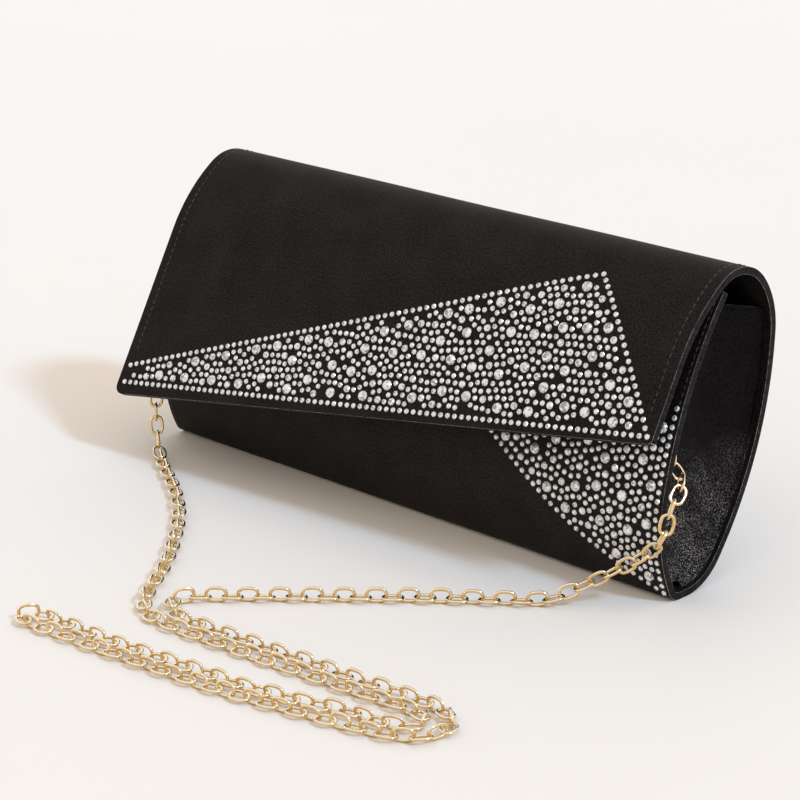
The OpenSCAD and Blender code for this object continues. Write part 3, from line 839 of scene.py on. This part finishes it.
def make_gusset(side):
    """One end wall: the glued flanges and the panel, its hem along the top and their stitches."""
    word = "right" if side > 0 else "left"
    grain = random.Random(5 + side)
    shifts = [grain.uniform(0, 6.28) for _ in range(3)]
    grid = []
    for r in range(GUSSET_ROWS):
        w = FOOT_SHARE + (1 - FOOT_SHARE) * (r / (GUSSET_ROWS - 1)) ** 1.15
        s_front, s_back = gusset_rail(-1, w), gusset_rail(1, w)
        front, back = flange_section(-1, w), flange_section(1, w)
        line = [wrap_point(x, s_front, d) for x, d in front]
        a = np.array(line[-1])
        b = np.array(wrap_point(back[-1][0], s_back, back[-1][1]))
        for k in range(1, GUSSET_ACROSS):
            u = k / GUSSET_ACROSS
            _, y, z = a * (1 - u) + b * u
            line.append((gusset_web(u, w, shifts), y, z))
        line += [wrap_point(x, s_back, d) for x, d in reversed(back)]
        grid.append([(side * x, y, z) for x, y, z in line])
    cols = len(grid[0])
    panel = grid_object(f"gusset_fabric_{word}", grid, GUSSET)
    face_towards(panel, (GUSSET_ROWS - 2) * (cols - 1) + cols // 2, (side, 0, 0))
    thicken(panel, GUSSET_T)
    even_normals(panel)
    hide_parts(f"gusset_{word}")

    def hem_point(u, rise, proud):
        w = HEM_LOW + (1 - HEM_LOW) * rise
        a = np.array(wrap_point(0, gusset_rail(-1, w), WALL + FLANGE_T))
        b = np.array(wrap_point(0, gusset_rail(1, w), WALL + FLANGE_T))
        _, y, z = a * (1 - u) + b * u
        return side * (gusset_web(u, w, shifts) + proud), y, z

    shares = spread(0, 1, 0.028)
    hem = [[hem_point(u, rise, proud) for u in shares] for proud, rise in HEM_SECTION]
    edge = grid_object(f"gusset_hem_{word}", hem, GUSSET)
    face_towards(edge, 2 * (len(shares) - 1) + len(shares) // 2, (side, 0, 0))
    # The hem's top strip takes the lighter edge satin, a painted highlight.
    edge.data.materials.append(PAINTED_EDGE_HIGHLIGHT)
    for polygon in edge.data.polygons[:len(shares) - 1]:
        polygon.material_index = 1
    thicken(edge, THIN_CLOTH)
    stitches = []
    length = math.dist(hem_point(0, HEM_STITCH_RISE, 0), hem_point(1, HEM_STITCH_RISE, 0))
    for k in range(int((length - 3) / HEM_STITCH_PITCH)):
        u = (1.5 + HEM_STITCH_PITCH * (k + 0.5)) / length
        start, end = (np.array(hem_point(at, HEM_STITCH_RISE, HEM_STITCH_PROUD))
                      for at in (u - 0.02, u + 0.02))
        aim = (end - start) / np.linalg.norm(end - start)
        stitches.append(stitch((start + end) / 2, aim, (side, 0, 0)))
    seam = joined(f"gusset_stitches_{word}", stitches, GUSSET)
    for piece in (panel, edge, seam):
        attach(piece, "shell")


def stitch(centre, aim, out, length=1.7, width=0.5, height=0.3):
    """One stitch: a small rounded lump of thread whose ends dive into the cloth."""
    c, t, n = np.array(centre, float), np.array(aim, float), np.array(out, float)
    side = np.cross(n, t)
    points, faces = [], []
    stations = ((-0.5, 0.25, -0.6), (-0.38, 0.8, 0.2), (-0.12, 1.0, 0.75), (0.12, 1.0, 0.75),
                (0.38, 0.8, 0.2), (0.5, 0.25, -0.6))
    ring = 6
    for along, fat, lift in stations:
        for k in range(ring):
            a = 2 * math.pi * k / ring
            p = c + t * along * length + side * (width / 2 * fat * math.cos(a))
            p = p + n * (height / 2 * fat * math.sin(a) + height * 0.4 * lift)
            points.append(tuple(p))
    for i in range(len(stations) - 1):
        for k in range(ring):
            m = (k + 1) % ring
            faces.append((i * ring + k, i * ring + m, (i + 1) * ring + m, (i + 1) * ring + k))
    faces.append(tuple(range(ring - 1, -1, -1)))
    faces.append(tuple((len(stations) - 1) * ring + k for k in range(ring)))
    return points, faces


for one_side in (1, -1):
    make_gusset(one_side)

# ---- Stitching --------------------------------------------------------------------------------
STITCH_PITCH = 2.6
CLEAR_OF_FLOOR = 1
EDGE_SEAM_X = 123.4
FLAP_SEAM_X = 120.7


def stitch_run(x, sigma_from, sigma_to):
    """A row of stitches up the wrap at x, left out where the bag stands on them."""
    out = []
    count = int((sigma_to - sigma_from) / STITCH_PITCH)
    for k in range(count):
        s = sigma_from + STITCH_PITCH * (k + 0.5)
        if on_wrap(s)[1] < CLEAR_OF_FLOOR:
            continue
        p0, p1 = np.array(on_wrap(s - 0.5)), np.array(on_wrap(s + 0.5))
        t = (p1 - p0) / np.linalg.norm(p1 - p0)
        out.append(stitch(wrap_point(x, s), (0, *t), outward(s)))
    return out


def make_stitching():
    """The two seams at each end, one on the body and one on the flap."""
    for side, word in ((1, "right"), (-1, "left")):
        edge = joined(f"edge_stitches_{word}",
                      stitch_run(side * EDGE_SEAM_X, -FRONT_LEN + 1, FOLD_SIGMA - 3),
                      THREAD)
        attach(edge, "shell")
        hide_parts(f"body_stitching_{word}")
        end = FLAP_SIGMA + (18 if side > 0 else 51)
        seam = joined(f"flap_stitches_{word}",
                      stitch_run(side * FLAP_SEAM_X, FOLD_SIGMA + 3, end),
                      THREAD)
        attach(seam, "flap")
        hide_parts(f"flap_stitching_{word}")


make_stitching()

# ---- Crystals ---------------------------------------------------------------------------------
# Both fields are outlines in (x, s): s is mm along the flap past FLAP_SIGMA, or up the front.
# Each border is a run of the outline's corners with a row of small stones along it.
SMALL_R = 1.0
MEDIUM_R = 1.38
LARGE_R = 1.95
ROW = 3.12
FLAP_FIELD = [(-121.3, 61.6), (122.5, 25.4), (116.7, 17.8), (107.4, 6.2), (97.7, -5.5),
              (88.9, -14.9), (80.0, -23.3), (52.1, -11.4), (23.3, 0.3), (-18.8, 16.1),
              (-121.3, 54.9)]
FRONT_FIELD = [(47.5, 46.5), (76.6, 28.0), (89.5, 20.6), (105.7, 13.0), (122.6, 6.0),
               (122.8, 71.0), (116.0, 69.6)]
FLAP_BORDERS = [[0, 1], [1, 2, 3, 4, 5, 6], [6, 7, 8, 9, 10]]
FRONT_BORDERS = [[0, 1, 2, 3, 4], [4, 5]]
BORDER_APART = 2.4
JITTER = 0.65
SEED_INSET = 1.9
FIELD_INSET = 2.4
EDGE_INSET = 0.9
BIG_APART = 4.2
CROWDED = 2.45
STONE_GAP = 0.85
SETTLE_STEPS = 70
BIG_STONES = ((LARGE_R, 9.0, 0.11), (MEDIUM_R, 5.0, 0.11))
STONE_TIERS = ((1.0, 0.0, 0.0), (1.0, 0.16, 0.0), (0.78, 0.52, 0.5), (0.42, 0.7, 0.0))
# Tones painted on the stones' tables as reflections.
TABLE_REFLECTIONS = (0.35, 0.6, 0.9, 0.95)
SUNK = 0.12


def distances_inside(points, polygon):
    """How far inside the polygon each point is, by its nearest edge, negative outside."""
    poly = np.array(polygon, float)
    nxt = np.roll(poly, -1, axis=0)
    d = nxt - poly
    length = (d ** 2).sum(1)
    rel = points[:, None, :] - poly[None]
    t = np.clip((rel * d).sum(2) / length, 0, 1)
    near = poly[None] + t[..., None] * d
    gap = np.linalg.norm(points[:, None, :] - near, axis=2).min(1)
    y = points[:, 1][:, None]
    crosses = (poly[:, 1] > y) != (nxt[:, 1] > y)
    with np.errstate(divide="ignore", invalid="ignore"):
        at = poly[:, 0] + (y - poly[:, 1]) / (nxt[:, 1] - poly[:, 1]) * d[:, 0]
    inside = (crosses & (points[:, 0][:, None] < at)).sum(1) % 2 == 1
    return np.where(inside, gap, -gap)


def along_border(polygon, picks, pitch):
    """Even places along the picked run of the polygon's corners."""
    line = np.array([polygon[i] for i in picks], float)
    length = np.concatenate([[0], np.cumsum(np.linalg.norm(np.diff(line, axis=0), axis=1))])
    count = round(length[-1] / pitch)
    return [tuple(np.interp(length[-1] * k / count, length, line[:, a]) for a in (0, 1))
            for k in range(count + 1)]


def border_stones(polygon, borders):
    """Places of the border rows' stones, with one where two rows meet."""
    fixed = []
    for picks in borders:
        for p in along_border(polygon, picks, ROW):
            if all(math.dist(p, q) > BORDER_APART for q in fixed):
                fixed.append(p)
    return np.array(fixed)


def loose_rows(polygon, draw):
    """Places inside the polygon on wavy staggered rows, each moved a little at random."""
    poly = np.array(polygon)
    low, high = poly.min(0), poly.max(0)
    tilt = math.atan2(polygon[1][1] - polygon[0][1], polygon[1][0] - polygon[0][0])
    c, s = math.cos(tilt), math.sin(tilt)
    centre = (low + high) / 2
    half = np.linalg.norm(high - low) / 2
    reach = range(int(-half / ROW), int(half / ROW) + 1)
    loose = []
    for j in reach:
        for i in reach:
            a, b = (i + (j % 2) / 2) * ROW * 1.04, j * ROW * 0.94
            b += 1.3 * math.sin(a / 17 + j * 0.12)
            loose.append((centre[0] + a * c - b * s, centre[1] + a * s + b * c))
    loose = np.array(loose) + draw.normal(0, JITTER, (len(loose), 2))
    return loose[distances_inside(loose, polygon) > SEED_INSET]


def pick_sizes(loose, draw):
    """A radius for each loose stone: large ones far apart, then medium ones between them."""
    radii = np.full(len(loose), SMALL_R)
    chosen = []
    for radius, apart, share in BIG_STONES:
        picks = draw.permutation(len(loose))
        wanted = int(share * len(loose))
        for i in picks:
            if wanted == 0:
                break
            if radii[i] > SMALL_R or any(
                    np.linalg.norm(loose[i] - loose[k])
                    < (apart if radii[k] >= radius else BIG_APART) for k in chosen):
                continue
            radii[i] = radius
            chosen.append(i)
            wanted -= 1
    return radii, chosen


def settle_stones(points, radii, moving, polygon):
    """Pushes stones apart, and back in from the polygon's edge, a little at a time."""
    weight = np.where(radii > SMALL_R, 0.25, 1.0) * moving
    for _ in range(SETTLE_STEPS):
        rel = points[:, None, :] - points[None]
        gap = np.linalg.norm(rel, axis=2) + 1e-9
        np.fill_diagonal(gap, 1e9)
        want = radii[:, None] + radii[None] + STONE_GAP
        push = np.clip(want - gap, 0, 1.2)[..., None] * rel / gap[..., None] * 0.4
        points = points + (push.sum(1)) * weight[:, None]
        out = FIELD_INSET - distances_inside(points, polygon)
        back = (out > 0) & moving
        middle = points[back].copy()
        goal = np.array([np.clip(middle[:, 0], -100, 108), np.zeros(len(middle))]).T
        goal[:, 1] = points[:, 1].mean()
        aim = goal - middle
        step = np.minimum(out[back], 0.3)[:, None]
        points[back] += aim / np.linalg.norm(aim, axis=1)[:, None] * step
    return points


def stone_field(polygon, borders, seed):
    """(x, s, radius) of every stone: even border rows, then big stones with small ones pushed
    into loose rows between them."""
    draw = np.random.default_rng(seed)
    fixed = border_stones(polygon, borders)
    loose = loose_rows(polygon, draw)
    radii, chosen = pick_sizes(loose, draw)
    kept = np.full(len(loose), True)
    for i in chosen:
        if radii[i] == LARGE_R:
            gap = np.linalg.norm(loose - loose[i], axis=1)
            kept &= ~((gap > 0) & (gap < CROWDED) & (radii == SMALL_R))
    points = np.vstack([fixed, loose[kept]])
    radii = np.concatenate([np.full(len(fixed), SMALL_R), radii[kept]])
    moving = np.arange(len(points)) >= len(fixed)
    points = settle_stones(points, radii, moving, polygon)
    taken = []
    for i in np.argsort(-radii - 10 * (~moving)):
        if moving[i] and distances_inside(points[i:i + 1], polygon)[0] < EDGE_INSET:
            continue
        if all(np.linalg.norm(points[i] - points[k]) > (radii[i] + radii[k]) * 0.97
               for k in taken):
            taken.append(i)
    return [(*points[i], radii[i]) for i in taken]


def stone_shape(sides=10):
    """A flat-backed cut stone of radius 1: girdle, two tiers of facets and a flat table."""
    points, faces = [], []
    for radius, height, turn in STONE_TIERS:
        for k in range(sides):
            a = 2 * math.pi * (k + turn) / sides
            points.append((radius * math.cos(a), radius * math.sin(a), height))
    n = sides
    for k in range(n):
        m = (k + 1) % n
        faces.append((k, m, n + m, n + k))
        faces.append((n + k, n + m, 2 * n + k))
        faces.append((n + m, 2 * n + m, 2 * n + k))
        faces.append((2 * n + k, 2 * n + m, 3 * n + m))
        faces.append((2 * n + k, 3 * n + m, 3 * n + k))
    faces.append(tuple(3 * n + k for k in range(n)))
    return np.array(points), faces


def unit(vector):
    return vector / np.linalg.norm(vector)


def make_stones(word, body, side, stones):
    """One mesh for each size: every stone leans and turns a little, and each facet has a tone of
    painted reflection.
    """
    shape, faces = stone_shape()
    sizes = (("small", SMALL_R), ("medium", MEDIUM_R), ("large", LARGE_R))
    for size, radius in sizes:
        points, all_faces, facet_reflections = [], [], []
        for x, s, r in stones:
            if r != radius:
                continue
            sigma = -s if side < 0 else FLAP_SIGMA + s
            lean = np.array((rng.gauss(0, 0.04), rng.gauss(0, 0.03), 0))
            out = unit(unit(outward(sigma)) + lean)
            ax = unit(np.array((1.0, 0, 0)) - out * out[0])
            ay = np.cross(out, ax)
            turn = rng.uniform(0, 6.28)
            u = ax * math.cos(turn) + ay * math.sin(turn)
            v = np.cross(out, u)
            base = np.array(wrap_point(x, sigma)) - out * SUNK
            pts = base + r * (shape[:, :1] * u + shape[:, 1:2] * v + shape[:, 2:] * out)
            first = len(points)
            points += [tuple(p) for p in pts]
            all_faces += [tuple(first + i for i in f) for f in faces]
            # Most facets are painted as bright reflections and some as dark ones; the table takes
            # one of a few painted tones.
            dark_reflection_share = 0.14 if radius == SMALL_R else 0.3
            for _ in faces[:-1]:
                dark = rng.random() < dark_reflection_share
                facet_reflections.append(rng.uniform(0.2, 0.6) if dark else rng.uniform(0.78, 1.0))
            facet_reflections.append(rng.choice(TABLE_REFLECTIONS))
        made = new_object(f"{word}_stones_{size}", points, all_faces, STONE, smooth=False)
        layer = made.data.color_attributes.new("facet", "FLOAT_COLOR", "CORNER")
        values = []
        for face, tone in zip(made.data.polygons, facet_reflections):
            values += [tone * 0.93, tone * 0.97, tone, 1.0] * face.loop_total
        layer.data.foreach_set("color", values)
        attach(made, body)
        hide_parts(f"{word}_crystals_{size}")
    print(word, "stones", len(stones))


make_stones("flap", "flap", 1, stone_field(FLAP_FIELD, FLAP_BORDERS, 3))
make_stones("front", "shell", -1, stone_field(FRONT_FIELD, FRONT_BORDERS, 4))

# ---- Ring tabs --------------------------------------------------------------------------------
RING_X = GUSSET_X - 0.8 - 4.2
RING_Y = 17.0
BAR_Z = 70.0
TAB_HALF = 3.5


def make_tab(side):
    """Ribbon that wraps the ring's straight bar and is sewn down on the gusset.

    line is its course seen from the front, (in from the bar, up from the bar)."""
    word = "right" if side > 0 else "left"
    line = [(4.1, -9.0), (4.1, -4.0), (3.7, -1.6), (2.2, -1.1)]
    for k in range(9):
        a = math.radians(-90 - 180 * k / 8)
        line.append((1.05 * math.cos(a), 1.05 * math.sin(a)))
    line += [(2.0, 0.55), (3.2, -0.4), (3.6, -2.4)]
    widths = spread(-TAB_HALF, TAB_HALF, 1)
    grid = [[(side * (RING_X + a), RING_Y + w, BAR_Z + b) for w in widths] for a, b in line]
    tab = grid_object(f"ring_ribbon_{word}", grid, GUSSET)
    thicken(tab, THIN_CLOTH)
    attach(tab, "shell")
    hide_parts(f"ring_tab_{word}")


for one_side in (1, -1):
    make_tab(one_side)

# ---- CAD pieces that stay ---------------------------------------------------------------------
KEPT = {
    BOARD: ("front_board", "bottom_board", "back_board", "flap_board"),
    FITTING: ("front_snap", "flap_snap", "d_ring_left", "d_ring_right", "clasp_left",
              "clasp_right", "clasp_lever_left", "clasp_lever_right", "clasp_pin_left",
              "clasp_pin_right", "end_link_left", "end_link_right"),
    STEEL: ("front_snap_washer", "flap_snap_washer"),
}
for material, names in KEPT.items():
    for name in names:
        nodes[name].data.materials.clear()
        nodes[name].data.materials.append(material)

# ---- Stage ------------------------------------------------------------------------------------
FLOOR_COLOR = (0.9, 0.9, 0.895)
FLOOR_LIGHT = (0.915, 0.912, 0.905)
FLOOR_TO = 1.6
SWEEP_R = 0.9
HALF_STAGE = 4.5
WORLD_COLOR = (0.89, 0.757, 0.633)
KEY_COLOR = (0.5, 0.74, 1.0)
KEY_ENERGY = 1.42
KEY_ANGLE = 8
KEY_AIM = (-1.05, -0.12, -1.0)


def make_stage():
    """A floor that turns up into a backdrop far behind the bag."""
    profile = [(-3.0, 0.0), (FLOOR_TO, 0.0)]
    for k in range(1, 13):
        a = math.radians(90 * k / 12)
        profile.append((FLOOR_TO + SWEEP_R * math.sin(a), SWEEP_R * (1 - math.cos(a))))
    profile.append((FLOOR_TO + SWEEP_R, 3.5))
    aim = Vector((-math.sin(AZIMUTH), math.cos(AZIMUTH), 0))
    across = Vector((math.cos(AZIMUTH), math.sin(AZIMUTH), 0))
    points = []
    for reach, z in profile:
        for w in (-HALF_STAGE, HALF_STAGE):
            p = aim * reach + across * w
            points.append((p.x / MM, p.y / MM, z / MM))
    s = Shade("pale_floor", FLOOR_COLOR, 0.6)
    v = s.place("Object")
    s.drive("Base Color", s.ramp(s.noise(v, 3, 2), [(0.3, FLOOR_COLOR), (0.7, FLOOR_LIGHT)]))
    floor = new_object("floor", points, grid_faces(len(profile), 2), s.mat)


def make_lights():
    """Even warm surroundings and one soft, cooler key from the right, a little behind."""
    world = bpy.data.worlds.new("studio")
    world.use_nodes = True
    back = world.node_tree.nodes["Background"]
    back.inputs["Color"].default_value = (*WORLD_COLOR, 1)
    back.inputs["Strength"].default_value = 1.0
    bpy.context.scene.world = world
    data = bpy.data.lights.new("key", "SUN")
    data.energy = KEY_ENERGY
    data.color = KEY_COLOR
    data.angle = math.radians(KEY_ANGLE)
    key = bpy.data.objects.new("key", data)
    bpy.context.scene.collection.objects.link(key)
    key.rotation_euler = Vector(KEY_AIM).to_track_quat("-Z", "Y").to_euler()


make_stage()
make_lights()
bpy.context.scene.view_settings.view_transform = "Standard"
